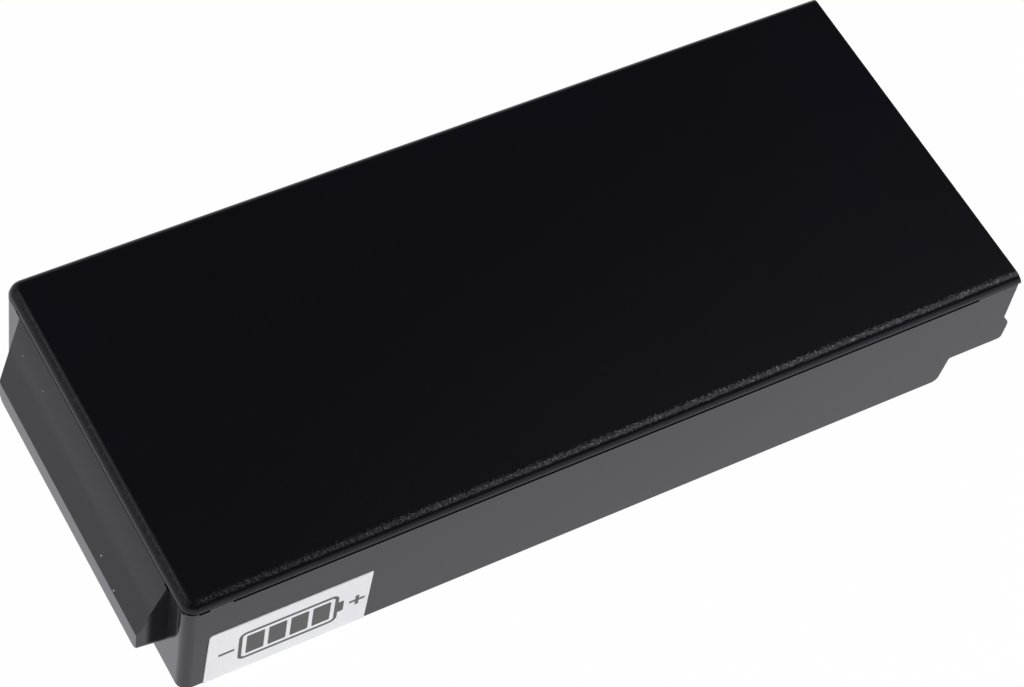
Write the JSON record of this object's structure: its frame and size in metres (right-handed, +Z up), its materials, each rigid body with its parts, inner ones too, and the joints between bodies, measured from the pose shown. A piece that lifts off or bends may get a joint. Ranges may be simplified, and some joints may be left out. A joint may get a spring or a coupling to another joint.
{
  "type": "rechargeable battery pack",
  "caption": "Flat black rechargeable battery pack for a handheld remote control: lidded tray with a hook ridge at one end and a stepped contact end.",
  "frame": {"origin": "centre of the pack's bounding box, at the height of its underside", "axes": "+Z up through the cover, +X along the row of cells from the hook ridge to the stepped end, -Y out of the labelled long side"},
  "size_m": [0.1112, 0.0463, 0.0171],
  "materials": {
    "cover_plastic": "matt, fine grain",
    "housing_plastic": "glossy, smooth moulded",
    "label_paper": "white coated sticker",
    "cell_sleeve": "shrink sleeve",
    "nickel": "bright strip",
    "contact_plating": "gold plated",
    "insulating_paper": "matt pressed paper",
    "foam": "soft foam",
    "board": "green solder mask",
    "fuse_body": "dipped resin"
  },
  "bodies": {
    "root": {"housing": "housing_plastic", "cover": "cover_plastic", "label": "label_paper", "cell_1": "cell_sleeve", "cell_2": "cell_sleeve", "cell_3": "cell_sleeve", "cell_4": "cell_sleeve", "cell_5": "cell_sleeve", "cell_6": "cell_sleeve", "link_1": "nickel", "link_2": "nickel", "link_3": "nickel", "link_4": "nickel", "link_5": "nickel", "output_strip": "nickel", "return_strip": "nickel", "insulating_sheet": "insulating_paper", "foam_pad_1": "foam", "foam_pad_2": "foam", "contact_board": "board", "resettable_fuse": "fuse_body", "contact_positive": "contact_plating", "contact_negative": "contact_plating"}
  },
  "joints": []
}
